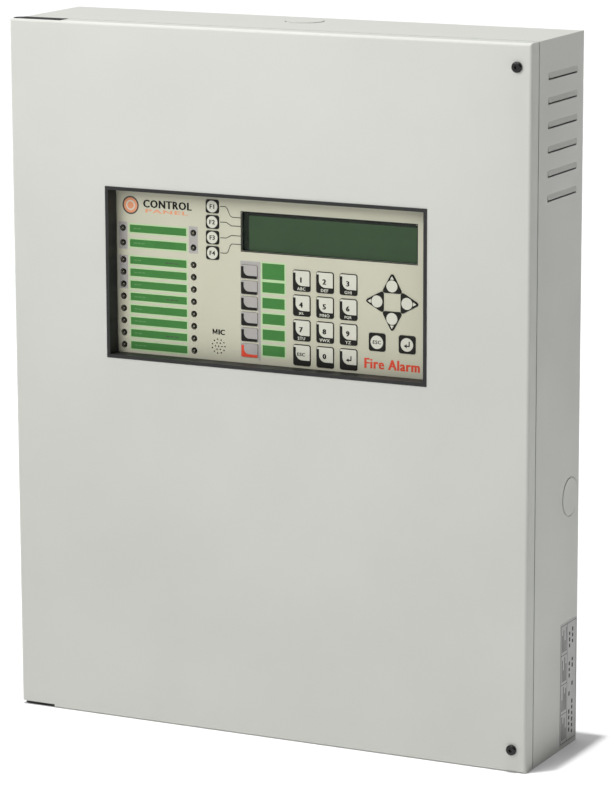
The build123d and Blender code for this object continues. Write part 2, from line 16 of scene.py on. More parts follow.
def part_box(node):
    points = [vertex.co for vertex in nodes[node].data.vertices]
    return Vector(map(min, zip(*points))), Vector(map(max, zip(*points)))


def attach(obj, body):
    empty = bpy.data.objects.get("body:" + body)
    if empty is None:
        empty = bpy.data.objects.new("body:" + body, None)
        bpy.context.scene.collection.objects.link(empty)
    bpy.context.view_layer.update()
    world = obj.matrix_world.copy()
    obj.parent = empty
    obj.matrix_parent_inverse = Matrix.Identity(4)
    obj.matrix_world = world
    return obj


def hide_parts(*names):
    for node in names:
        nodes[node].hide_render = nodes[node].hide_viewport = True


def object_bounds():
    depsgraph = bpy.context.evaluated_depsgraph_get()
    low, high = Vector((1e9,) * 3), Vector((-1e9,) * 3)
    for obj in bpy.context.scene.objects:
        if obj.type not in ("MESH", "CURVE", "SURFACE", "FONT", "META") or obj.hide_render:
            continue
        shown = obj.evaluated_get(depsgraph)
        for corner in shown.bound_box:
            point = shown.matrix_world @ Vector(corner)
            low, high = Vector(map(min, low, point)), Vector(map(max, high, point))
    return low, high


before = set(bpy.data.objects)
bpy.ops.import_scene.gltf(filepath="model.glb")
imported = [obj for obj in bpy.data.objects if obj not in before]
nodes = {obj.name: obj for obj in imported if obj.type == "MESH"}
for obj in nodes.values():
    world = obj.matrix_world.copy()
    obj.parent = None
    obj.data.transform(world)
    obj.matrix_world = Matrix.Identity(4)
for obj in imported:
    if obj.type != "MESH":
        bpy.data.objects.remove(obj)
cad_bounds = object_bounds()
MM = 0.001
print("CAD nodes:", len(nodes))

# %% [markdown]
# ## Camera
# The panel is seen with a long lens, from well back and a little above, so that its verticals stay nearly
# parallel. The camera is placed by one matrix, which is easier to keep exact than three angles.

# %% Camera
lens = bpy.data.cameras.new("camera")
lens.lens = 167.43
camera = bpy.data.objects.new("camera", lens)
bpy.context.scene.collection.objects.link(camera)
stand = (1.1473, -2.3427, 0.5162)  # metres: in front of the panel, to its right and above it
heading, tilt, roll = 26.331, 78.307, -0.180  # degrees
camera.matrix_world = (Matrix.Translation(stand) @ Matrix.Rotation(radians(heading), 4, "Z")
                       @ Matrix.Rotation(radians(tilt), 4, "X") @ Matrix.Rotation(radians(roll), 4, "Z"))
bpy.context.scene.camera = camera
print("lens", lens.lens, "mm")

# %% [markdown]
# ## Studio light and floor
# The panel stands on a white sweep. A small, nearly overhead sun gives the short grey shadow beside the box, and
# lights the sweep evenly to its far edge. A soft lamp high on the left, with a narrow spread, lights the front
# and fades towards its foot. The room is brightest overhead, which lifts the top of the box, and brighter on the
# left than on the right, so that the side of the box stays darker than its front.

# %% Helpers for colours and nodes
def linear(code):
    """An sRGB hex colour as the linear numbers that a socket takes."""
    parts = [int(code[i:i + 2], 16) / 255 for i in (1, 3, 5)]
    return tuple(c / 12.92 if c <= 0.04045 else ((c + 0.055) / 1.055) ** 2.4 for c in parts) + (1.0,)


def node(tree, kind, inputs=None, **settings):
    """Adds a ShaderNode of this kind; an input is a value, an output, or a node, for its first output."""
    made = tree.nodes.new("ShaderNode" + kind)
    for key, value in settings.items():
        setattr(made, key, value)
    for key, value in (inputs or {}).items():
        value = value.outputs[0] if isinstance(value, bpy.types.Node) else value
        if isinstance(value, bpy.types.NodeSocket):
            tree.links.new(value, made.inputs[key])
        else:
            made.inputs[key].default_value = value
    return made


print("white is", linear("#FFFFFF"))

# %% Room, lamps and sweep
bpy.context.scene.view_settings.view_transform = "Standard"
room = bpy.data.worlds.new("room")
room.use_nodes = True
bpy.context.scene.world = room
tree = room.node_tree
place = node(tree, "TexCoord")
ways = node(tree, "SeparateXYZ", {"Vector": place.outputs["Generated"]})
side = node(tree, "MapRange", {"Value": ways.outputs["X"], "From Min": -1.0, "From Max": 0.8,
                               "To Min": 0.34, "To Max": 0.0})
above = node(tree, "MapRange", {"Value": ways.outputs["Z"], "From Min": 0.55, "To Max": 1.05})
both = node(tree, "Math", {0: side, 1: above}, operation="ADD")
tree.links.new(both.outputs[0], tree.nodes["Background"].inputs["Strength"])
tree.nodes["Background"].inputs["Color"].default_value = linear("#FDFDFF")


def lamp(name, kind, energy, way, at=(0, 0, 0), **settings):
    """A lamp that shines along way."""
    data = bpy.data.lights.new(name, kind)
    data.energy = energy
    for key, value in settings.items():
        setattr(data, key, value)
    obj = bpy.data.objects.new(name, data)
    bpy.context.scene.collection.objects.link(obj)
    obj.matrix_world = Matrix.Translation(at) @ Vector(way).to_track_quat("-Z", "Y").to_matrix().to_4x4()


lamp("overhead_lamp", "SUN", 2.25, (16, 16, -500), angle=radians(1.0))
lamp("front_softbox", "AREA", 3.3, (0.4, 1.15, -0.5), at=(-0.4, -1.15, 0.85), size=0.8, spread=radians(80))

sweep_size, sweep_z = 30.0, cad_bounds[0][2]
bm = bmesh.new()
bmesh.ops.create_grid(bm, x_segments=1, y_segments=1, size=sweep_size)
bmesh.ops.translate(bm, verts=bm.verts[:], vec=(0, 0, sweep_z))
mesh = bpy.data.meshes.new("sweep")
bm.to_mesh(mesh)
bm.free()
sweep = bpy.data.objects.new("sweep", mesh)
bpy.context.scene.collection.objects.link(sweep)
# matt paper, so white that only the shadow shows on it
paper = bpy.data.materials.new("white_paper_sweep")
paper.use_nodes = True
for key, value in (("Base Color", linear("#EFEFEF")), ("Roughness", 0.9), ("Specular IOR Level", 0.1)):
    paper.node_tree.nodes["Principled BSDF"].inputs[key].default_value = value
mesh.materials.append(paper)
print("sweep at z =", round(sweep_z, 4))

# %% [markdown]
# ## Materials
# Each finish is a Principled shader plus a few noise textures on Object coordinates. Object coordinates are in
# metres here, so a noise scale of 1000 makes grains about a millimetre across. What changes over the surface is
# linked; what is the same all over is set on the shader's own socket.

# %% A start for every material
def feed(finish, socket, output):
    """Links a node's output to one socket of the finish's shader."""
    tree = finish.node_tree
    tree.links.new(output, tree.nodes["Principled BSDF"].inputs[socket])


def new_finish(name, colour, roughness, grain=None, tint=None, **sockets):
    """A Principled material; grain = (scale, height in mm) is a bump, tint = (colour, scale, share) is a mottle.

    The share is 0.5 if not given. Where the tint's colour is None, only the gloss varies.
    """
    finish = bpy.data.materials.new(name)
    finish.use_nodes = True
    tree = finish.node_tree
    shader = tree.nodes["Principled BSDF"]
    shader.inputs["Base Color"].default_value = linear(colour)
    shader.inputs["Roughness"].default_value = roughness
    for key, value in sockets.items():
        shader.inputs[key.replace("_", " ")].default_value = value
    place = node(tree, "TexCoord", name="place").outputs["Object"]
    if tint:
        second, scale, share = (*tint, 0.5)[:3]
        mottle = node(tree, "TexNoise", {"Vector": place, "Scale": scale, "Detail": 4.0})
        if second:
            ramp = node(tree, "MapRange", {"Value": mottle, "From Min": 0.35, "From Max": 0.65, "To Max": share})
            mix = node(tree, "Mix", {"Factor": ramp, "A": linear(colour), "B": linear(second)}, data_type="RGBA")
            feed(finish, "Base Color", mix.outputs["Result"])
        rub = node(tree, "MapRange", {"Value": mottle, "From Min": 0.3, "From Max": 0.7,
                                      "To Min": max(roughness - 0.05, 0.02), "To Max": roughness + 0.06})
        feed(finish, "Roughness", rub.outputs["Result"])
    if grain:
        scale, height = grain
        bumps = node(tree, "TexNoise", {"Vector": place, "Scale": scale, "Detail": 3.0})
        relief = node(tree, "Bump", {"Height": bumps, "Distance": height * MM})
        feed(finish, "Normal", relief.outputs["Normal"])
    return finish


def waves(tree, along, pitch):
    """Even ridges along a coordinate, one for each pitch."""
    turns = node(tree, "Math", {0: along, 1: 2 * pi / pitch}, operation="MULTIPLY")
    return node(tree, "Math", {0: turns}, operation="SINE")


def wear(nodes_and_finish):
    """Gives each named CAD node its finish, in every material slot it has."""
    for name, finish in nodes_and_finish.items():
        mesh = nodes[name].data
        if not mesh.materials:
            mesh.materials.append(finish)
        for i in range(len(mesh.materials)):
            mesh.materials[i] = finish


# %% [markdown]
# ### Powder-coated sheet steel
# The cover and the box are sprayed with charged polyester powder and baked. The powder melts into a satin skin
# with a faint orange peel of about a millimetre. A larger mottle stands for the slightly uneven build of the
# coat and for dust. It is warm light grey.

# %% Powder coat
# a soft, even sheen with no hard reflections
powder_coat = new_finish("light_grey_powder_coat", "#BFC0BA", 0.46, grain=(900, 0.022),
                         tint=("#B8B9B2", 9, 0.55), Specular_IOR_Level=0.4)
wear({"front_cover": powder_coat, "back_box": powder_coat})
print(powder_coat.name)

# %% [markdown]
# ### Black plastics and black screws
# The window's trim and the hinge brackets are moulded ABS with a fine spark-eroded texture. The cover screws are
# black oxide steel: darker and glossier, with the thread of the shank as bands at its pitch. Their retaining
# washers are natural nylon.

# %% Black plastic, black oxide, nylon
thread_pitch = 0.7 * MM  # an M4 thread
head_back, shank_start = -0.0915, -0.0905  # metres: the bands fade in between these depths
# a matt black frame whose texture keeps its edges soft
black_abs = new_finish("moulded_black_abs", "#202120", 0.48, grain=(3500, 0.012), tint=("#181918", 60, 0.7),
                       Specular_IOR_Level=0.35)
# near black with a small hard highlight, so that the heads read as points
black_oxide = new_finish("black_oxide_steel", "#0D0D0D", 0.20, tint=("#191715", 900, 0.6), Metallic=0.2,
                         Specular_IOR_Level=0.45)
tree = black_oxide.node_tree
depth = node(tree, "SeparateXYZ", {"Vector": tree.nodes["place"].outputs["Object"]}).outputs["Y"]
shank = node(tree, "MapRange", {"Value": depth, "From Min": head_back, "From Max": shank_start})
thread = node(tree, "Math", {0: waves(tree, depth, thread_pitch), 1: shank}, operation="MULTIPLY")
relief = node(tree, "Bump", {"Height": thread, "Distance": 0.25 * MM})
feed(black_oxide, "Normal", relief.outputs["Normal"])
# milky, with a little light inside it
nylon = new_finish("natural_nylon", "#D8D2BF", 0.5, grain=(1500, 0.01), tint=("#C9C1A9", 200),
                   Subsurface_Weight=0.1)
wear({"window_trim": black_abs, "hinge_brackets": black_abs, "upper_cover_screw": black_oxide,
      "lower_cover_screw": black_oxide, "upper_screw_washer": nylon, "lower_screw_washer": nylon})
print(black_abs.name, black_oxide.name, nylon.name)

# %% [markdown]
# ### Zinc and galvanised steel
# Screws, pins, standoffs and nuts are zinc plated: bright, slightly blue, finely scratched. The console's bridge
# is galvanised sheet, whose spangle is a mosaic of flat crystals, which a Voronoi texture draws well.

# %% Zinc plate and galvanised sheet
# bright and cool, broken up by scratches
zinc_plate = new_finish("bright_zinc_plate", "#B9BCC0", 0.32, grain=(2600, 0.01), tint=("#9C9EA2", 350, 0.8),
                        Metallic=1.0)
# crystals that shine and dull by turns
galvanised = new_finish("galvanised_sheet", "#A9ADB0", 0.42, grain=(1200, 0.012), Metallic=0.9)
tree = galvanised.node_tree
crystals = node(tree, "TexVoronoi", {"Vector": tree.nodes["place"].outputs["Object"], "Scale": 160.0})
shade = node(tree, "MapRange", {"Value": crystals.outputs["Color"], "To Min": 0.30, "To Max": 0.55})
feed(galvanised, "Roughness", shade.outputs["Result"])
mix = node(tree, "Mix", {"Factor": shade, "A": linear("#C0C4C6"), "B": linear("#85898C")}, data_type="RGBA")
feed(galvanised, "Base Color", mix.outputs["Result"])
wear({name: zinc_plate for name in ("hinge_pins", "clinch_fasteners", "board_standoffs", "board_screws")})
wear({"console_chassis": galvanised})
print(zinc_plate.name, galvanised.name)

# %% [markdown]
# ### The printed overlay
# The keyboard's face is one sheet of textured polyester film, printed and stuck down. The film is beige with a
# fine velvet grain that kills reflections. Its inks are slightly raised and silkier than the film. The status
# and zone names are written on green cards that are pushed in behind the film's windows.

# %% Film, inks and cards
def screen_ink(name, colour, shade, scale=90.0, share=0.5, grain=(4200, 0.008), **sockets):
    """A screen-printed ink: a dried skin, silkier than the film under it."""
    return new_finish(f"screen_printed_{name}", colour, 0.45, grain, (shade, scale, share), **sockets)


fine = (5000.0, 0.006)
# an even beige that shows no lamp
film = new_finish("velvet_polyester_film", "#BBBAA6", 0.55, grain=(4200, 0.012), tint=("#B4B39E", 14),
                  Specular_IOR_Level=0.4)
# a dense black with hardly any shine
black_ink = screen_ink("black", "#10100C", "#191914", 500.0, grain=fine, Specular_IOR_Level=0.2)
# key faces a little paler and cooler than the film
face_ink = screen_ink("pale_face", "#C6C6B8", "#BFBFAF")
# cool patches that hold lamps and keys together
grey_ink = screen_ink("grey", "#A09D99", "#989590")
# thin lines that stay softer than black
line_ink = screen_ink("line_grey", "#3E3E36", "#35352E", 300.0, grain=fine)
# a light edge that lifts the cards off the film
halo_ink = screen_ink("pale_green", "#A9C795", "#A0BF8B")
# small print that is seen but not read
small_print_ink = screen_ink("mid_green", "#5E9157", "#56894F")
# a faded orange
orange_ink = screen_ink("orange", "#D8926C", "#CC8258", 120.0, 0.6)
# the one strong warm colour
red_ink = screen_ink("red", "#D23A10", "#C63510", 120.0)
# a full green, dulled by the film in front of it
green_card = new_finish("green_card_behind_film", "#3B7736", 0.42, grain=(2500, 0.01),
                        tint=("#346E30", 70, 0.6), Specular_IOR_Level=0.25)
wear({"membrane_overlay": film, "label_inserts": green_card})
print("inks:", black_ink.name, face_ink.name, grey_ink.name, red_ink.name)

# %% [markdown]
# ## Making flat pieces and prints
# Most new pieces are thin plates seen from the front: an outline whose corners are rounded with a vertex bevel,
# extruded, with its front edges eased by an edge bevel. Even ink is a closed plate, because it has a thickness
# and then it never flickers on the film.

# %% Plates, discs, rings, lines and letters
def thicken(shape, y_front, y_back, edge=0.0):
    """Extrudes a flat front-view shape that lies at y_back forward to y_front, and eases its front edges."""
    moved = bmesh.ops.extrude_face_region(shape, geom=shape.faces[:])["geom"]
    bmesh.ops.translate(shape, verts=[v for v in moved if isinstance(v, bmesh.types.BMVert)],
                        vec=(0, (y_front - y_back) * MM, 0))
    bmesh.ops.recalc_face_normals(shape, faces=shape.faces[:])
    if edge:
        rim = [e for e in shape.edges if all(abs(v.co.y - y_front * MM) < 1e-7 for v in e.verts)]
        bmesh.ops.bevel(shape, geom=rim, offset=edge * MM, affect="EDGES", segments=3, profile=0.5, material=-1)


def shift(shape, vec):
    bmesh.ops.translate(shape, verts=shape.verts[:], vec=vec)


def join(bm, shape, slot=0, turn=None):
    """Moves a finished shape into bm, with all its faces in one material slot."""
    for face in shape.faces:
        face.material_index = slot
    if turn:
        bmesh.ops.transform(shape, matrix=turn, verts=shape.verts[:])
    mesh = bpy.data.meshes.new("shape")
    shape.to_mesh(mesh)
    shape.free()
    bm.from_mesh(mesh)
    bpy.data.meshes.remove(mesh)


def plate(bm, corners, y_front, y_back, radii=0.0, edge=0.0, slot=0, segments=5, turn=None):
    """A closed plate from its front-view corners (x, z) in mm; radii is one radius or one for each corner."""
    shape = bmesh.new()
    verts = [shape.verts.new((x * MM, y_back * MM, z * MM)) for x, z in corners]
    shape.faces.new(verts)
    for vert, radius in zip(verts, radii if isinstance(radii, (list, tuple)) else [radii] * len(verts)):
        if radius:
            bmesh.ops.bevel(shape, geom=[vert], offset=radius * MM, affect="VERTICES", segments=segments,
                            profile=0.5, material=-1)
    thicken(shape, y_front, y_back, edge)
    join(bm, shape, slot, turn)


def box_corners(x, z, width, tall):
    return [(x - width / 2, z - tall / 2), (x + width / 2, z - tall / 2),
            (x + width / 2, z + tall / 2), (x - width / 2, z + tall / 2)]


def oblong(bm, x, z, width, tall, y_front, y_back, *radius, **settings):
    """A plate from the middle and the size of an oblong."""
    plate(bm, box_corners(x, z, width, tall), y_front, y_back, *radius, **settings)


def disc(bm, x, z, radius, y_front, y_back, edge=0.0, slot=0, segments=32, turn=None):
    shape = bmesh.new()
    bmesh.ops.create_circle(
        shape, cap_ends=True, segments=segments, radius=radius * MM,
        matrix=Matrix.Translation((x * MM, y_back * MM, z * MM)) @ Matrix.Rotation(pi / 2, 4, "X"))
    thicken(shape, y_front, y_back, edge)
    join(bm, shape, slot, turn)


def spun(profile, axis, steps):
    """A closed ring: a four-cornered profile spun once about an axis through the origin."""
    shape = bmesh.new()
    corners = [shape.verts.new(Vector(corner) * MM) for corner in profile]
    sides = [shape.edges.new((corners[i], corners[(i + 1) % 4])) for i in range(4)]
    bmesh.ops.spin(shape, geom=corners + sides, cent=(0, 0, 0), axis=axis, angle=2 * pi, steps=steps,
                   use_merge=True)
    bmesh.ops.remove_doubles(shape, verts=shape.verts[:], dist=1e-7)
    bmesh.ops.recalc_face_normals(shape, faces=shape.faces[:])
    return shape


def ring(bm, x, z, outer, inner, y_front, y_back, slot=0):
    """A flat washer-shaped print."""
    shape = spun([(inner, y_front, 0), (outer, y_front, 0), (outer, y_back, 0), (inner, y_back, 0)],
                 (0, 1, 0), 32)
    shift(shape, (x * MM, 0, z * MM))
    join(bm, shape, slot)


def line(bm, points, width, y_front, y_back, slot=0, turn=None):
    """A printed line: a plate for each run and a disc at each bend."""
    for (x0, z0), (x1, z1) in zip(points, points[1:]):
        way = Vector((x1 - x0, z1 - z0)).normalized() * width / 2
        plate(bm, [(x0 + way.y, z0 - way.x), (x1 + way.y, z1 - way.x), (x1 - way.y, z1 + way.x),
                   (x0 - way.y, z0 + way.x)], y_front, y_back, slot=slot, turn=turn)
    for x, z in points[1:-1]:
        disc(bm, x, z, width / 2, y_front - 0.001, y_back, slot=slot, segments=10, turn=turn)


def letters(bm, words, x, z, tall, y_front, y_back, slot=0, bold=0.0, width=None):
    """Words centred on (x, z), capitals tall mm high; bold lays two more copies, bold mm to each side."""
    curve = bpy.data.curves.new("letters", "FONT")
    curve.body, curve.offset, curve.extrude, curve.resolution_u = words, 0.008, 0.1, 2
    curve.space_character = 1.12
    obj = bpy.data.objects.new("letters", curve)
    bpy.context.scene.collection.objects.link(obj)
    mesh = bpy.data.meshes.new_from_object(obj.evaluated_get(bpy.context.evaluated_depsgraph_get()))
    bpy.data.objects.remove(obj)
    shape = bmesh.new()
    shape.from_mesh(mesh)
    bpy.data.meshes.remove(mesh)
    bmesh.ops.remove_doubles(shape, verts=shape.verts[:], dist=1e-5)
    low = Vector([min(v.co[i] for v in shape.verts) for i in range(3)])
    high = Vector([max(v.co[i] for v in shape.verts) for i in range(3)])
    shift(shape, -(low + high) / 2)
    size = tall * MM / (high.y - low.y)
    stretch = (width - 2 * bold) * MM / (high.x - low.x) if width else size
    deep = (y_back - y_front) * MM / (high.z - low.z)
    bmesh.ops.scale(shape, verts=shape.verts[:], vec=(stretch, size, deep))
    bmesh.ops.rotate(shape, verts=shape.verts[:], cent=(0, 0, 0), matrix=Matrix.Rotation(pi / 2, 3, "X"))
    bmesh.ops.recalc_face_normals(shape, faces=shape.faces[:])
    for n, aside in enumerate((-bold, bold, 0) if bold else (0,)):
        copy = shape.copy()
        shift(copy, Vector((x + aside, (y_front + y_back) / 2 - n * 0.002, z)) * MM)
        join(bm, copy, slot)
    shape.free()


made = []
smooth_up_to = radians(35)


def finish_piece(name, bm, finishes, body, replaces=()):
    """Turns bm into a named object that rides on a body, with its place in its mesh."""
    mesh = bpy.data.meshes.new(name)
    bm.to_mesh(mesh)
    bm.free()
    for finish in finishes:
        mesh.materials.append(finish)
    mesh.shade_smooth()
    mesh.set_sharp_from_angle(angle=smooth_up_to)
    obj = bpy.data.objects.new(name, mesh)
    bpy.context.scene.collection.objects.link(obj)
    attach(obj, body)
    if replaces:
        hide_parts(*replaces)
    made.append((name, len(mesh.polygons)))


# %% [markdown]
# ## Where the console is
# Everything on the console is placed from the centre of the window in the cover. The CAD boxes give that centre
# and the fronts of the film and the keys.

# %% Console datum
trim_low, trim_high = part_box("window_trim")
window_z = (trim_low.z + trim_high.z) / 2 / MM
film_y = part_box("membrane_overlay")[0].y / MM
key_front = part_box("digit_key_5")[0].y / MM
print("window centre z", round(window_z, 2), "film front y", round(film_y, 2), "key front y", round(key_front, 2))


def up(z):
    """A height given from the window's centre, as a height in the frame."""
    return window_z + z


# %% [markdown]
# ## The keys
# Each real key is a raised dome pressed into the film over a small switch, which a plunger reaches. A thin plate
# with an eased edge gives that dome, and its legends are layers of ink, stacked in the order in which a printer
# lays them down: a black base, a pale face, then the characters.

# %% One key
key_thickness, key_edge, plunger_r = 0.85, 0.22, 1.5
inks = [face_ink, black_ink, face_ink, grey_ink, red_ink]
PALE, BLACK, FACE, GREY, RED = range(5)
base_y, face_y, mark_y = key_front - 0.04, key_front - 0.07, key_front - 0.10
key_centres = {}


def start_key(name, x, z, corners, radii, slot=BLACK):
    """The domed plate and the plunger behind it, which is as deep as the CAD key's own box."""
    key_centres[name] = (x, z)
    back = key_front + key_thickness
    bm = bmesh.new()
    plate(bm, corners, key_front, back, radii, edge=key_edge, slot=slot)
    disc(bm, x, up(z), plunger_r, back - 0.01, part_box(name)[1].y / MM, slot=PALE, segments=20)
    return bm


def finish_key(name, bm):
    finish_piece(f"{name}_cap", bm, inks, name, [name])


def swept_face(bm, x, z, w, h, rims, foot, step, radii, slot):
    """A key's face that leaves a swept black corner at its lower left: foot is that corner's width and height."""
    left, low, right, high = x - w / 2, up(z) - h / 2, x + w / 2 - rims[1], up(z) + h / 2 - rims[1]
    plate(bm, [(left + foot[0], low + foot[1]), (right, low + foot[1]), (right, high), (left + rims[0], high),
               (left + rims[0], high - step), (left + foot[0], high - step)],
          face_y, base_y, radii, slot=slot, segments=8)


def return_arrow(bm, x, z, size):
    """The bent arrow of an enter key."""
    line(bm, [(x + size * 0.42, z + size * 0.55), (x + size * 0.42, z - size * 0.22),
              (x - size * 0.1, z - size * 0.22)], size * 0.2, mark_y, face_y, BLACK)
    plate(bm, [(x - size * 0.55, z - size * 0.22), (x - size * 0.02, z - size * 0.56),
               (x - size * 0.02, z + size * 0.12)], mark_y - 0.002, face_y, slot=BLACK)


# %% Function keys: a black square with a pale round face
def round_key(name, x, z, w, h, radius):
    bm = start_key(name, x, z, box_corners(x, up(z), w, h), 1.6)
    oblong(bm, x, up(z), w - 0.5, h - 0.5, base_y, key_front, 1.4, slot=BLACK)
    disc(bm, x, up(z), radius, face_y, base_y, slot=FACE)
    return bm


for i in range(4):
    name, x, z = f"function_key_{i + 1}", -45.6, 49.9 - 10.9 * i
    bm = round_key(name, x, z, 10.2, 9.4, 4.2)
    letters(bm, f"F{i + 1}", x, up(z), 3.1, mark_y, face_y, slot=BLACK, bold=0.16)
    finish_key(name, bm)
print("function keys done")

# %% Zone keys: a grey face with a black corner, the last one red
w, h = 12.9, 9.7
for i in range(6):
    name, x, z = f"zone_key_{i + 1}", -17.1, 5.9 - 11.1 * i
    bm = start_key(name, x, z, box_corners(x, up(z), w, h), 1.0, slot=GREY)
    oblong(bm, x, up(z), w - 0.44, h - 0.44, base_y, key_front, 0.8, slot=RED if i == 5 else BLACK)
    swept_face(bm, x, z, w, h, (0.2, 0.21), (2.3, 2.2), 0.9, [3.9, 0.2, 0.7, 0.6, 0, 0], GREY)
    finish_key(name, bm)
print("zone keys done")

# %% Keypad: digits over their letter groups
marks = [*"123456789", "ESC", "0", "enter"]
groups = ["ABC", "DEF", "GHI", "JKL", "MNO", "PQR", "STU", "VWX", "YZ", "", "", ""]
keypad_names = [f"digit_key_{n}" for n in range(1, 10)] + ["keypad_escape_key", "digit_key_0", "keypad_enter_key"]
columns, top_row, row_pitch = (23.5, 41.4, 59.3), 2.6, 17.4
w, h = 13.3, 14.8
for n, (name, mark, group) in enumerate(zip(keypad_names, marks, groups)):
    x, z = columns[n % 3], top_row - row_pitch * (n // 3)
    bm = start_key(name, x, z, box_corners(x, up(z), w, h), 1.6)
    oblong(bm, x, up(z), w - 0.44, h - 0.44, base_y, key_front, 1.4, slot=BLACK)
    swept_face(bm, x, z, w, h, (0.45, 0.45), (2.2, 3.9), 1.4, [4.8, 0.3, 1.0, 0.9, 0, 0], FACE)
    if mark == "enter":
        return_arrow(bm, x + 0.4, up(z) + 0.4, 4.0)
    else:
        tall, bold = (2.4, 0.16) if mark == "ESC" else (3.7, 0.3)
        letters(bm, mark, x - 0.35, up(z) + 0.6, tall, mark_y, face_y, slot=BLACK, bold=bold)
    if group:
        letters(bm, group, x - 0.1, up(z) - 5.5, 2.2, face_y, base_y, slot=FACE, bold=0.07)
    finish_key(name, bm)
print("keypad done")

# %% Arrow keys: a black rounded triangle, a round face and a small pointer
arrow_x, arrow_z = 92.3, -7.3
for turn, way in ((0, "up"), (90, "left"), (180, "down"), (270, "right")):
    name = f"arrow_{way}_key"
    spin = Matrix.Rotation(radians(turn), 2)

    def at(x, z):
        """A place on the upward key, turned with the key about the middle of the four."""
        there = spin @ Vector((x, z))
        return (arrow_x + there.x, up(arrow_z) + there.y)

    cx, cz = at(0, 11.1)
    bm = start_key(name, cx, cz - window_z, [at(-8.0, 6.4), at(8.0, 6.4), at(0, 21.0)], [2.7, 2.7, 2.9])
    plate(bm, [at(-7.58, 6.65), at(7.58, 6.65), at(0, 20.48)], base_y, key_front, [2.3, 2.3, 2.45], slot=BLACK)
    disc(bm, *at(0, 11.25), 4.15, face_y, base_y, slot=FACE)
    plate(bm, [at(-1.45, 15.85), at(1.45, 15.85), at(0, 18.3)], face_y, base_y, 0.3, slot=FACE, segments=2)
    finish_key(name, bm)
print("arrow keys done")

# %% Escape and enter keys
for x, name in ((81.0, "escape_key"), (103.6, "enter_key")):
    z = -35.7
    bm = round_key(name, x, z, 12.5, 12.5, 4.7)
    if name == "escape_key":
        letters(bm, "ESC", x, up(z), 2.5, mark_y, face_y, slot=BLACK, bold=0.12)
    else:
        return_arrow(bm, x, up(z), 4.2)
    finish_key(name, bm)
print("keys:", len(key_centres))

# %% [markdown]
# ## The printing on the film
# One object for each ink, as each is one pass of the screen: grey patches first, then the pale green borders of
# the card windows, then black. A plain roundel and generic words stand in for a name, and short bars stand for
# the small print on the cards.

# %% Grey and pale green
thin_y, letter_y, thick_y = film_y - 0.03, film_y - 0.04, film_y - 0.05  # fronts of three thicknesses of ink
led_columns, led_rows = (-116.8, -60.8), [30.2, 19.8] + [7.6 - 8.7 * i for i in range(8)]
patch_half, lamp_hole_r = 3.5, 1.8
bm = bmesh.new()
for x, z0, z1, rows in ((led_columns[0], 15.3, 34.6, led_rows[:2]), (led_columns[0], -13.0, 10.9, led_rows[2:5]),
                        (led_columns[1], 15.7, 34.8, led_rows[:2])):
    shape = bmesh.new()
    edge = [shape.verts.new((cx * MM, film_y * MM, up(cz) * MM)) for cx, cz in
            ((x - patch_half, z0), (x + patch_half, z0), (x + patch_half, z1), (x - patch_half, z1))]
    for i in range(4):
        shape.edges.new((edge[i], edge[(i + 1) % 4]))
    for z in rows:
        bmesh.ops.create_circle(shape, segments=24, radius=lamp_hole_r * MM, matrix=Matrix.Translation(
            (x * MM, film_y * MM, up(z) * MM)) @ Matrix.Rotation(pi / 2, 4, "X"))
    bmesh.ops.triangle_fill(shape, use_beauty=True, edges=shape.edges[:])
    thicken(shape, thin_y, film_y)
    join(bm, shape)
for x0, x1, z0, z1 in ((-24.0, -23.65, -56.2, 13.4), (-10.4, -8.4, -56.2, 13.4), (-23.65, -10.4, 11.0, 13.4)):
    plate(bm, [(x0, up(z0)), (x1, up(z0)), (x1, up(z1)), (x0, up(z1))], thin_y, film_y)
finish_piece("overlay_grey_print", bm, [grey_ink], "enclosure")


def border(bm, x, z, width, tall, margin, y_front):
    """Four strips round a window in the film."""
    for dx, dz, w, h in ((0, (tall + margin) / 2, width + 2 * margin, margin),
                         (0, -(tall + margin) / 2, width + 2 * margin, margin),
                         ((width + margin) / 2, 0, margin, tall), (-(width + margin) / 2, 0, margin, tall)):
        oblong(bm, x + dx, z + dz, w, h, y_front, film_y)


bm = bmesh.new()
for z in led_rows:
    border(bm, -88.9, up(z), 44.9, 5.3, 0.95, thin_y)
for i in range(6):
    tall, z = (11.2, 7.2) if i == 0 else (7.3, -4.05 - (i - 1) * 11.15)
    border(bm, 1.6, up(z), 17.2, tall, 1.0, thin_y)
finish_piece("overlay_card_borders", bm, [halo_ink], "enclosure")
print("film front", film_y)

# %% Small print on the cards: short pale and dark bars
card_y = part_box("label_inserts")[0].y / MM
bm = bmesh.new()
for n, row in enumerate(led_rows):
    for part in range(2 + n % 2):
        oblong(bm, -107.2 + part * 3.2, up(row), 2.5, 0.5, card_y - 0.03, card_y)
    if n in (2, 5, 8):
        for part in range(3):
            oblong(bm, -82.0 + part * 3.6, up(row) - 0.4, 2.8, 0.6, card_y - 0.03, card_y, slot=1)
finish_piece("card_small_print", bm, [small_print_ink, line_ink], "enclosure")
print("card front", round(card_y, 2))

# %% Black rings, display border, leader lines and the microphone's word
display_x, display_z = 43.9, 33.9
bm = bmesh.new()
for x in led_columns:
    for z in led_rows:
        ring(bm, x, up(z), 2.35, 1.76, thick_y, film_y)
border(bm, display_x, up(display_z), 133.8, 27.2, 0.6, thick_y)
# the M of MIC is four strokes, because a letter this small fills in
line(bm, [(-45.8, up(-40.2)), (-45.8, up(-36.8)), (-44.3, up(-39.4)), (-42.8, up(-36.8)), (-42.8, up(-40.2))],
     0.85, letter_y, film_y)
letters(bm, "IC", -39.1, up(-38.5), 3.8, letter_y, film_y, bold=0.34, width=5.2)
letters(bm, "CONTROL", -81.2, up(48.5), 5.6, letter_y, film_y, bold=0.32, width=38.6)
finish_piece("overlay_black_print", bm, [black_ink], "enclosure")

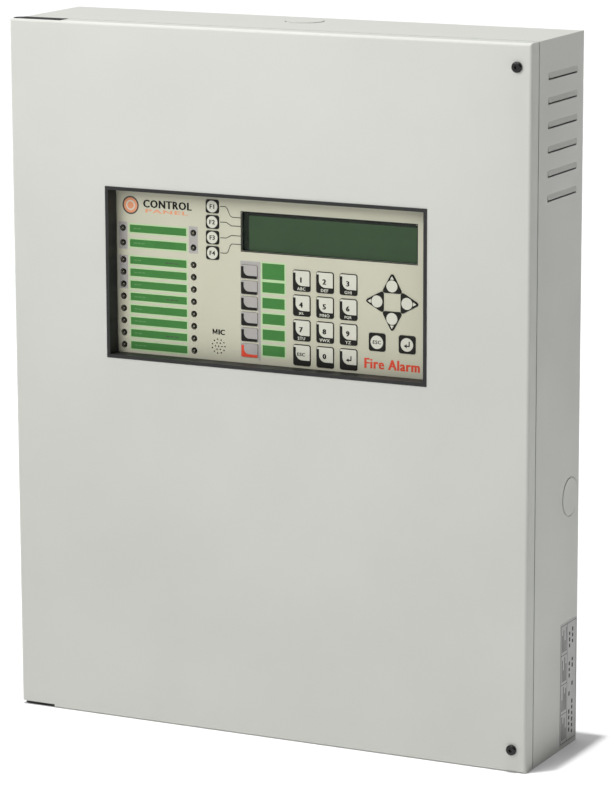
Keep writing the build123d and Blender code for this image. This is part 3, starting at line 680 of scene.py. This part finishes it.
bm = bmesh.new()
for run in ([(-39.6, 50.3), (-35.4, 50.4), (-33.9, 48.9), (-31.8, 44.2), (-30.0, 43.3), (-23.6, 43.3)],
            [(-39.6, 39.3), (-34.9, 39.4), (-30.8, 37.2), (-23.6, 37.3)],
            [(-39.6, 28.3), (-34.9, 28.4), (-30.8, 30.5), (-23.6, 30.5)],
            [(-39.6, 17.6), (-34.9, 17.7), (-33.6, 18.8), (-31.8, 23.4), (-30.6, 24.5), (-23.6, 24.6)]):
    line(bm, [(x, up(z)) for x, z in run], 0.62, thin_y, film_y)
finish_piece("overlay_leader_lines", bm, [line_ink], "enclosure")
print("black print done")

# %% The badge and the coloured words
badge_x, badge_z = -110.5, up(46.7)
bm = bmesh.new()
disc(bm, badge_x, badge_z, 6.2, thin_y, film_y)
ring(bm, badge_x, badge_z, 6.5, 5.4, thick_y, film_y, slot=1)
ring(bm, badge_x, badge_z, 3.6, 2.6, thick_y, film_y, slot=2)
letters(bm, "PANEL", -81.6, up(43.4), 2.6, thin_y, film_y, bold=0.16, width=34.0)
finish_piece("overlay_badge", bm, [orange_ink, line_ink, face_ink], "enclosure")

bm = bmesh.new()
letters(bm, "Fire Alarm", 92.2, up(-50.9), 7.2, thin_y, film_y, bold=0.38, width=42.0)
finish_piece("overlay_red_print", bm, [red_ink], "enclosure")
print("badge at", badge_x, round(badge_z, 1))

# %% [markdown]
# ## Status lamps and display
# A status lamp is a 3 mm light-emitting diode: unlit, its smoky resin looks almost black round the pale cup of
# the die. The display is a matt green liquid crystal cell behind a shiny clear pane, and the dark frame round the
# cell shows at the window's edges.

# %% Lamps
# a dark bead with one highlight
smoky_resin = new_finish("smoky_epoxy_lens", "#1E1D17", 0.2, tint=("#29271F", 700), Specular_IOR_Level=0.3)
# the die's pale cup seen through the resin, and a painted glint in the middle of the bead
die_cup_and_glint = new_finish("pale_die_cup_and_painted_glint", "#9A9481", 0.25, tint=("#847F6D", 900), Metallic=0.3)
wear({"status_leds": smoky_resin})
led_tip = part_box("status_leds")[0].y / MM
cup_r = 0.55
# a pale disc on each lamp's tip: the die's cup, and partly a painted glint
bm = bmesh.new()
for x in led_columns:
    for z in led_rows:
        disc(bm, x, up(z), cup_r, led_tip - 0.02, led_tip + 0.1, segments=14)
finish_piece("led_die_cups_and_glints", bm, [die_cup_and_glint], "enclosure")
print("lamp tips at y", round(led_tip, 2))

# %% Display
# a dark green shine that lets the cell through
pane = new_finish("clear_display_pane", "#1A2A19", 0.08, tint=("#1F311F", 30, 0.4), Alpha=0.24)
# a flat, unlit green
cell = new_finish("green_liquid_crystal", "#42693A", 0.5, tint=("#3E6436", 25, 0.6))
# a black edge that sets the cell back
cell_frame = new_finish("blackened_tin_frame", "#121512", 0.4, grain=(2500, 0.01), tint=("#1C1F1C", 200, 0.6),
                        Metallic=0.6)
# unlit character cells, only just darker than the field
spot = new_finish("unlit_character_cell", "#3F6537", 0.5, tint=("#3B6033", 25, 0.6))
wear({"display_window": pane})
low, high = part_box("display_module")
front, back = low.y / MM, high.y / MM
cx, cz = display_x, up(display_z)
rows, columns, row_pitch, column_pitch = 2, 40, 9.0, 3.06
bm = bmesh.new()
oblong(bm, cx, cz, 146.0, 40.0, front + 3.1, back, 1.0, edge=0.2, slot=2)
oblong(bm, cx, cz, 142.0, 36.0, front + 0.35, front + 3.1, 1.0, edge=0.3, slot=1)
oblong(bm, cx + 1.6, cz - 1.3, 128.0, 24.4, front + 0.1, front + 0.35, 0.6)
for row in range(rows):
    for column in range(columns):
        oblong(bm, cx + 1.6 + (column - (columns - 1) / 2) * column_pitch, cz - 0.9 + (0.5 - row) * row_pitch,
               2.6, 7.4, front + 0.09, front + 0.1, slot=3)
finish_piece("display_cell", bm, [cell, cell_frame, cell_frame, spot], "enclosure",
             ["display_module"])
print("display cell at y", round(front, 2))


# %% [markdown]
# ## The rating label
# A grey polyester label low on the side has a ruled table and small print; plain bars stand for the words. It is
# drawn as a front view and turned a quarter about Z to face right.

# %% Label and its printing
# a grey that is a shade darker and smoother than the powder coat
label_film = new_finish("grey_printed_label", "#A9A9A6", 0.4, grain=(3000, 0.006), tint=("#9E9E9B", 60, 0.6))
wear({"rating_label": label_film})
low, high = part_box("rating_label")
to_side = (Matrix.Translation((high.x, (low.y + high.y) / 2, (low.z + high.z) / 2))
           @ Matrix.Rotation(pi / 2, 4, "Z"))
half_w, half_h = (high.y - low.y) / 2 / MM - 1.0, (high.z - low.z) / 2 / MM - 1.5
table_w, rule, print_y, rule_y = 11.0, 0.4, -0.03, -0.032
bm = bmesh.new()
for x in (-half_w, -half_w + table_w, half_w):
    line(bm, [(x, -half_h), (x, half_h)], rule, print_y, 0.0, turn=to_side)
for k in range(5):
    z = -half_h + k * half_h / 2
    line(bm, [(-half_w, z), (-half_w + table_w, z)], rule, rule_y, 0.0, turn=to_side)
for z in (-half_h, half_h):
    line(bm, [(-half_w, z), (half_w, z)], rule, rule_y, 0.0, turn=to_side)
cell_tall = half_h / 2
for k in range(4):
    for column in range(4):
        long = cell_tall - 4.0 - (0, 5.0, 1.5, 9.0)[(k * 3 + column) % 4]
        x, z = -half_w + 2.2 + column * 2.2, -half_h + k * cell_tall + 2.2 + long / 2
        oblong(bm, x, z, 1.2, long, print_y, 0.0, turn=to_side, slot=1)
# two columns of short words; their places are shares of the label's height, out of 78
shares = 78
for column, runs in ((15.0, ((5, 21), (29, 33), (41, 53), (61, 73))),
                     (20.4, ((3, 27), (35, 39), (47, 55), (63, 75)))):
    for start, end in runs:
        for share in range(start, end, 4):
            x, z = -half_w + column, -half_h + (share + 1.6) / shares * 2 * half_h
            oblong(bm, x, z, 2.2, 2.4 + share % 3 * 0.3, print_y, 0.0, turn=to_side)
finish_piece("rating_label_print", bm, [black_ink, line_ink], "enclosure")
print("label at x", round(high.x / MM, 2))

# %% [markdown]
# ## Circuit boards
# A board is glass-fibre laminate under green solder mask. Copper tracks show through the mask as slightly
# lighter, slightly raised lines, mostly along and across the board. A Brick texture gives long tracks with
# breaks, once for each direction, and a noise decides where there are any.

# %% Solder mask with tracks
mask, track = "#1F5A34", "#3C8450"
# glossy green, with a maze of paler lines
solder_mask = new_finish("green_solder_mask_over_tracks", mask, 0.32, tint=(None, 80))
tree = solder_mask.node_tree
place = tree.nodes["place"].outputs["Object"]
height = None
for turned, scale, offset in ((0, 160.0, 0.45), (pi / 2, 120.0, 0.6)):
    vector = node(tree, "Mapping", {"Vector": place, "Rotation": (pi / 2, 0, turned)})
    runs = node(tree, "TexBrick", {"Vector": vector, "Scale": scale, "Mortar Size": 0.11,
                                   "Mortar Smooth": 0.15, "Brick Width": 3.2, "Row Height": 0.42},
      offset=offset, offset_frequency=3, squash=1.6, squash_frequency=5)
    clear = node(tree, "TexNoise", {"Vector": vector, "Scale": 34.0, "Detail": 1.0})
    gate = node(tree, "Math", {0: clear, 1: 0.52}, operation="GREATER_THAN")
    part = node(tree, "Math", {0: runs.outputs["Fac"], 1: gate}, operation="MULTIPLY")
    height = part if height is None else node(tree, "Math", {0: height, 1: part}, operation="MAXIMUM")
mix = node(tree, "Mix", {"Factor": height, "A": linear(mask), "B": linear(track)}, data_type="RGBA")
feed(solder_mask, "Base Color", mix.outputs["Result"])
relief = node(tree, "Bump", {"Height": height, "Distance": 0.04 * MM})
feed(solder_mask, "Normal", relief.outputs["Normal"])
wear({"main_board": solder_mask, "console_board": solder_mask})
print(solder_mask.name)

# %% [markdown]
# ## Parts on the main board
# The relays are blue blocks with rounded edges, the chips are black packages with rows of legs and a dimple at
# leg one, and the capacitors are aluminium cans in sleeves with a crossed vent on top. The dozens of little
# surface parts between them are blocks with two tinned ends, with few faces.

# %% Finishes for the parts
# dull black with a fine moulded grain; it also paints the shade in the capacitors' vents and in the terminals'
# slots and wire entries
black_plastic_and_shade = new_finish("black_plastic_and_painted_shade", "#1B1C1D", 0.5, grain=(4000, 0.01), tint=("#242526", 400))
# small bright points in rows
tinned = new_finish("tinned_legs", "#C9CBCC", 0.3, grain=(3000, 0.006), tint=("#AEB0B1", 500, 0.6), Metallic=1.0)
# the one blue inside the box
relay_blue = new_finish("blue_relay_case", "#2B5C9E", 0.35, grain=(2500, 0.008), tint=("#255291", 90))
# a shrunk skin, dark and half glossy
sleeve = new_finish("capacitor_sleeve", "#20283C", 0.4, grain=(2500, 0.006), tint=("#1B2233", 120))
# a bright lid on the dark sleeve
can_top = new_finish("aluminium_can_top", "#C2C4C6", 0.28, grain=(2500, 0.008), tint=("#A9ABAD", 300, 0.6),
                     Metallic=1.0)
# chalky white marks
silk = new_finish("white_board_lettering", "#D9DAD4", 0.5, grain=(4000, 0.004), tint=("#CDCEC7", 200))
# warm specks among the green
tan = new_finish("tan_ceramic", "#A58A63", 0.45, grain=(4000, 0.006), tint=("#967B55", 300, 0.6))
part_finishes = [black_plastic_and_shade, tinned, relay_blue, sleeve, can_top, silk, tan]
CHIP_AND_SHADE, TIN, RELAY, SLEEVE, CAN, SILK, TAN = range(7)
board_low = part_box("main_board")[0]
face, low_z = board_low.y / MM, board_low.z / MM
print("main board face y", round(face, 2), "foot z", round(low_z, 2))

# %% Relays, chips and capacitors
bm = bmesh.new()
relay_top = face - 15
for i in range(4):
    x, z = -95 + i * 24, low_z + 34
    oblong(bm, x, z, 19.0, 16.0, relay_top, face - 0.4, 0.8, edge=0.5, slot=RELAY)
    oblong(bm, x, z, 18.2, 15.2, face - 0.4, face, slot=RELAY)
    oblong(bm, x, z + 2.5, 13.0, 4.0, relay_top - 0.03, relay_top, 0.4, slot=SILK)
    for k in range(3):
        oblong(bm, x - 1.0, z - 1.6 - k * 1.7, 11.0 - 3 * (k % 2), 0.6, relay_top - 0.03, relay_top, slot=SILK)

leg_pitch = 1.27
for x, z, wide, tall in ((40, 60, 28, 28), (85, 60, 20, 12), (85, 90, 20, 12), (40, 110, 12, 18)):
    z += low_z
    body_w, body_h = wide - 3.0, tall - 3.0
    oblong(bm, x, z, body_w, body_h, face - 3, face - 0.3, 0.4, edge=0.3, slot=CHIP_AND_SHADE)
    disc(bm, x - body_w / 2 + 2.2, z + body_h / 2 - 2.2, 0.8, face - 3.02, face - 3, slot=SILK, segments=16)
    # each leg is a foot on the board and a shoulder against the body: distance from the edge, length, front, back
    for side in (-1, 1):
        for long, wanted, upright in ((body_w, wide >= tall, False), (body_h, tall >= wide, True)):
            for k in range(int((long - 2) / leg_pitch) if wanted else 0):
                along = 1.4 + k * leg_pitch - long / 2
                for inset, reach, front, back in ((0.75, 1.5, 0.35, 0.0), (1.3, 0.4, 1.7, 0.3)):
                    away = side * ((wide if upright else tall) / 2 - inset)
                    dx, dz, w, h = (away, along, reach, 0.5) if upright else (along, away, 0.5, reach)
                    oblong(bm, x + dx, z + dz, w, h, face - front, face - back, slot=TIN)

can_front = face - 16.0
for i in range(3):
    x, z = -90 + i * 22, low_z + 150
    disc(bm, x, z, 6.5, can_front + 0.4, face, edge=0.6, slot=SLEEVE)
    disc(bm, x, z, 5.4, can_front, can_front + 0.5, edge=0.2, slot=CAN)
    # the crossed vent is black plates on the lid: painted shade in its grooves
    for size in ((0.35, 7.0), (7.0, 0.35)):
        oblong(bm, x, z, *size, can_front, face - 15.99, slot=CHIP_AND_SHADE)
    oblong(bm, x, z, 1.2, 1.2, can_front, face - 15.98, slot=CHIP_AND_SHADE)
finish_piece("board_parts", bm, part_finishes, "enclosure", ["board_components"])
print("relays, chips and capacitors on the board")

# %% Small surface parts and lettering
bm = bmesh.new()
places = [(x, z) for x in range(-84, 100, 8) for z in range(20, 196, 9)]
# middles and half sizes of the areas that big parts take
busy = [(-59, 34, 56, 14), (40, 60, 19, 19), (85, 60, 15, 10), (85, 90, 15, 10), (40, 110, 11, 14),
        (-68, 150, 34, 12), (-47.5, 84, 18, 14)]
for n, (x, z) in enumerate(places):
    if any(abs(x - bx) < bw and abs(z - bz) < bh for bx, bz, bw, bh in busy) or (n * 7) % 5 < 2:
        continue
    x, z = x + (n * 13 % 5 - 2) * 0.6, low_z + z + (n * 11 % 7 - 3) * 0.5
    wide, tall = ((3.0, 1.5), (1.5, 3.0), (2.0, 1.2))[n % 3]
    oblong(bm, x, z, wide, tall, face - 0.55, face, slot=(CHIP_AND_SHADE, TAN, TAN, CHIP_AND_SHADE)[n % 4])
    cap_w, cap_h = (wide * 0.22, tall * 1.02) if wide > tall else (wide * 1.02, tall * 0.22)
    for side in (-1, 1):
        dx, dz = (side * wide * 0.42, 0) if wide > tall else (0, side * tall * 0.42)
        oblong(bm, x + dx, z + dz, cap_w, cap_h, face - 0.6, face, slot=TIN)
    if n % 4 == 0:
        oblong(bm, x, z + tall * 0.5 + 1.0, 2.4, 0.5, face - 0.04, face, slot=SILK)
for bx, bz, bw, bh in busy[:5]:
    z = low_z + bz - bh + 2
    line(bm, [(bx - bw + 2, z), (bx + bw - 2, z)], 0.25, face - 0.03, face, slot=SILK)
finish_piece("board_small_parts", bm, part_finishes, "enclosure")
print("small parts placed")

# %% [markdown]
# ## Terminals
# Field wiring ends in green pluggable terminals. Each has a square wire entry below and a slotted screw in a
# round well. The screws are zinc discs with a slot, sunk in the wells that the CAD solid already has.

# %% Terminal blocks and their screws
# a soft satin green in rows
terminal_green = new_finish("moulded_green_polyamide", "#3E7A4A", 0.42, grain=(2500, 0.012),
                            tint=("#376E42", 120))
# the same satin in grey, which sets the mains apart
terminal_grey = new_finish("moulded_grey_polyamide", "#9FA19B", 0.42, grain=(2500, 0.012), tint=("#93958F", 120))
wear({"terminal_blocks": terminal_green, "mains_terminal_block": terminal_grey})


def slotted_screw(bm, x, z, radius, y_front, y_back):
    disc(bm, x, z, radius, y_front, y_back, edge=0.15, segments=18)
    # the slot is a black plate across the head: painted shade
    oblong(bm, x, z, radius * 1.7, radius * 0.3, y_front - 0.01, y_front, slot=1)


block_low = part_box("terminal_blocks")[0]
block_y, block_z = block_low.y / MM, block_low.z / MM
block_pitch, way_pitch = 37.0, 34.0 / 6.4
bm = bmesh.new()
for i in range(6):
    for n in range(6):
        x = (i - 2.5) * block_pitch + (n - 2.5) * way_pitch
        slotted_screw(bm, x, block_z + 6.6, 1.55, block_y + 0.6, block_y + 1.5)
        # the square wire entry is a black plate on the front: painted shadow in the opening
        oblong(bm, x, block_z + 2.0, 2.6, 2.2, block_y - 0.03, block_y, 0.3, slot=1)
low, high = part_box("mains_terminal_block")
for n in range(3):
    slotted_screw(bm, low.x / MM + 5 + n * 10, (low.z + high.z) / 2 / MM, 2.3, low.y / MM + 1.2, low.y / MM + 3.0)
finish_piece("terminal_screws", bm, [zinc_plate, black_plastic_and_shade], "enclosure")
print("terminal screws:", 6 * 6 + 3)

# %% [markdown]
# ## Power supply, batteries and leads
# The supply is a slotted tin box with a printed label. The two batteries are sealed lead-acid blocks: dark grey
# ABS with a seam below the lid, a row of raised grips, red and black rings at the tabs, and a plain pale label.

# %% Power supply
# dull grey metal with slow changes, as thin sheet has
supply_tin = new_finish("folded_tin_case", "#B4B7B8", 0.38, grain=(900, 0.014), tint=("#9EA1A3", 40, 0.7),
                        Metallic=0.95)
# painted shadow: a black that reads as depth in the slots and in the screws' cross recesses; the label's words
# are printed in it too
shadow_and_print_black = new_finish("painted_slot_shadow_and_label_print", "#1D1E1E", 0.7, grain=(2000, 0.01), tint=("#262727", 200))
wear({"power_supply": supply_tin})
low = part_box("power_supply")[0]
left, front, foot = low.x / MM, low.y / MM, low.z / MM
ZINC, DARK, WHITE = range(3)
bm = bmesh.new()
# black plates behind the slots: painted shadow
for i in range(9):
    oblong(bm, left + 15 + i * 10, foot + 32, 2.6, 43.4, front + 1.12, front + 1.19, 1.2, slot=DARK)
for x, z in ((left + dx, foot + dz) for dz in (5, 59) for dx in (5, 105)):
    disc(bm, x, z, 2.4, front - 1.2, front, edge=0.5, slot=ZINC, segments=20)
    # a black cross on each screw head: painted shade in its recess
    for size in ((2.6, 0.5), (0.5, 2.6)):
        oblong(bm, x, z, *size, front - 1.215, front - 1.2, slot=DARK)
oblong(bm, left + 55, foot + 5, 60, 6.5, front - 0.08, front, 0.6, slot=WHITE)
# the label's words, printed in the same black
for k in range(7):
    oblong(bm, left + 31 + k * 8, foot + 5, 5.2 - (k % 3), 1.1, front - 0.1, front - 0.08, slot=DARK)
finish_piece("supply_details", bm, [zinc_plate, shadow_and_print_black, silk], "enclosure")
print("supply front y", round(front, 2))

# %% Batteries
# a coarse, dusty dark grey
battery_abs = new_finish("dark_grey_battery_abs", "#3A3D40", 0.46, grain=(1600, 0.02), tint=("#33363A", 30, 0.6))
# smooth pale paper
battery_label = new_finish("pale_battery_label", "#C8CBC8", 0.4, grain=(2500, 0.005), tint=("#BCC0BD", 30))
# a clear red that marks the positive tab
red_plastic = new_finish("red_terminal_ring", "#B3261B", 0.4, grain=(2500, 0.008), tint=("#9E2017", 120))
wear({"battery_left": battery_abs, "battery_right": battery_abs})
CASE, LABEL, RED_RING, BLACK_RING = range(4)
case_height, tab_inset, label_depth = 94.0, 15.5, 0.12
for which, tab_slots in (("left", (RED_RING, BLACK_RING)), ("right", (BLACK_RING, RED_RING))):
    low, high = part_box(f"battery_{which}")
    x0, x1, y0, z0 = low.x / MM, high.x / MM, low.y / MM, low.z / MM
    lid, mid, label_y = z0 + case_height, (x0 + x1) / 2, y0 - label_depth
    bm = bmesh.new()
    for drop in (10.0, 11.6):
        oblong(bm, mid, lid - drop, x1 - x0 - 6.4, 0.7, y0 - 0.25, y0, 0.3, slot=CASE)
    for k in range(5):
        oblong(bm, x0 + 16 + k * (x1 - x0 - 32) / 4, lid - 5.0, 16, 1.6, y0 - 0.5, y0, 0.7, edge=0.2, slot=CASE)
    oblong(bm, mid, z0 + 42, 92, 46, label_y, y0, 2.0, slot=LABEL)
    oblong(bm, mid, z0 + 60, 84, 5.5, y0 - 0.14, label_y, 0.6, slot=RED_RING)
    letters(bm, "12 V", mid - 24, z0 + 49, 7.0, y0 - 0.15, label_y, slot=BLACK_RING, bold=0.35)
    bars = [(mid - 4 - 4 * (k % 2), z0 + 40 - k * 4.2, 70 - 8 * (k % 2)) for k in range(5)]
    bars += [(mid + 22, z0 + 50.5 - k * 3.2, 32 - 5 * k) for k in range(3)]
    for x, z, long in bars:
        oblong(bm, x, z, long, 1.0, y0 - 0.14, label_y, slot=BLACK_RING)
    for x, slot in zip((x0 + tab_inset, x1 - tab_inset), tab_slots):
        collar = spun([(3.6, 0, 0), (5.4, 0, 0), (5.2, 0, 1.5), (3.8, 0, 1.5)], (0, 0, 1), 28)
        shift(collar, (x * MM, (y0 + tab_inset) * MM, lid * MM))
        join(bm, collar, slot)
    finish_piece(f"battery_{which}_details", bm, [battery_abs, battery_label, red_plastic, black_plastic_and_shade],
                 "enclosure")
print("batteries dressed")

# %% [markdown]
# ## Leads and ribbon
# The battery leads are stranded copper in soft PVC, red to the positive side and black to the negative. One CAD
# node holds them all, so the material itself changes colour at a plane between them. The ribbon is grey with
# ridges at its wire pitch and a red edge that marks the first wire.

# %% PVC leads and ribbon
red_pvc, black_pvc, ribbon_grey, first_wire_red = "#A82219", "#18191A", "#A7A9A8", "#B5332A"
return_side_x = 0.012  # metres: what lies right of this plane is black
wire_pitch = 1.27 * MM
# soft colour with a slow, waxy highlight
pvc = new_finish("red_and_black_pvc", red_pvc, 0.38, grain=(2200, 0.01), tint=(None, 200))
tree = pvc.node_tree
place = node(tree, "SeparateXYZ", {"Vector": tree.nodes["place"].outputs["Object"]})
return_side = node(tree, "Math", {0: place.outputs["X"], 1: return_side_x}, operation="GREATER_THAN")
mix = node(tree, "Mix", {"Factor": return_side, "A": linear(red_pvc), "B": linear(black_pvc)}, data_type="RGBA")
feed(pvc, "Base Color", mix.outputs["Result"])
# fine ridges that catch the light as stripes
ribbon = new_finish("grey_ribbon_insulation", ribbon_grey, 0.42, tint=(None, 60))
tree = ribbon.node_tree
across = node(tree, "SeparateXYZ", {"Vector": tree.nodes["place"].outputs["Object"]}).outputs["X"]
relief = node(tree, "Bump", {"Height": waves(tree, across, wire_pitch), "Distance": 0.25 * MM})
feed(ribbon, "Normal", relief.outputs["Normal"])
ribbon_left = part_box("ribbon_cable")[0].x
first = node(tree, "Math", {0: across, 1: ribbon_left + 1.3 * MM}, operation="LESS_THAN")
mix = node(tree, "Mix", {"Factor": first, "A": linear(ribbon_grey),
                         "B": linear(first_wire_red)}, data_type="RGBA")
feed(ribbon, "Base Color", mix.outputs["Result"])
wear({"power_leads": pvc, "ribbon_cable": ribbon, "key_switches": black_plastic_and_shade, "buzzer": black_plastic_and_shade,
      "microphone": tinned})
print(pvc.name, ribbon.name)

# %% Small pieces on the back of the console board
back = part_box("console_board")[1].y / MM
part_depth = 0.6
bm = bmesh.new()
for n in range(60):
    x, z = -112 + (n * 37) % 220, up(-50 + (n * 23) % 100)
    under_microphone = abs(x + 47.5) < 16 and z < up(-25)
    under_buzzer = abs(x + 95) < 15 and abs(z - up(-25)) < 15
    if under_microphone or under_buzzer:
        continue
    wide, tall = ((3.0, 1.6), (1.6, 3.0))[n % 2]
    shape = bmesh.new()
    middle = Matrix.Translation((x * MM, (back + part_depth / 2) * MM, z * MM))
    bmesh.ops.create_cube(shape, size=1.0,
                          matrix=middle @ Matrix.Diagonal((wide * MM, part_depth * MM, tall * MM, 1)))
    bmesh.ops.bevel(shape, geom=shape.edges[:], offset=0.08 * MM, affect="EDGES", segments=1, profile=0.5,
                    material=-1)
    join(bm, shape, slot=(CHIP_AND_SHADE, TAN)[n % 2])
finish_piece("console_small_parts", bm, part_finishes, "enclosure")
print("console board back y", round(back, 2))

# %% [markdown]
# ## Finish
# The new pieces and their faces are counted.

# %% Count the new pieces
print("new pieces:", len(made), "faces:", sum(count for _, count in made))
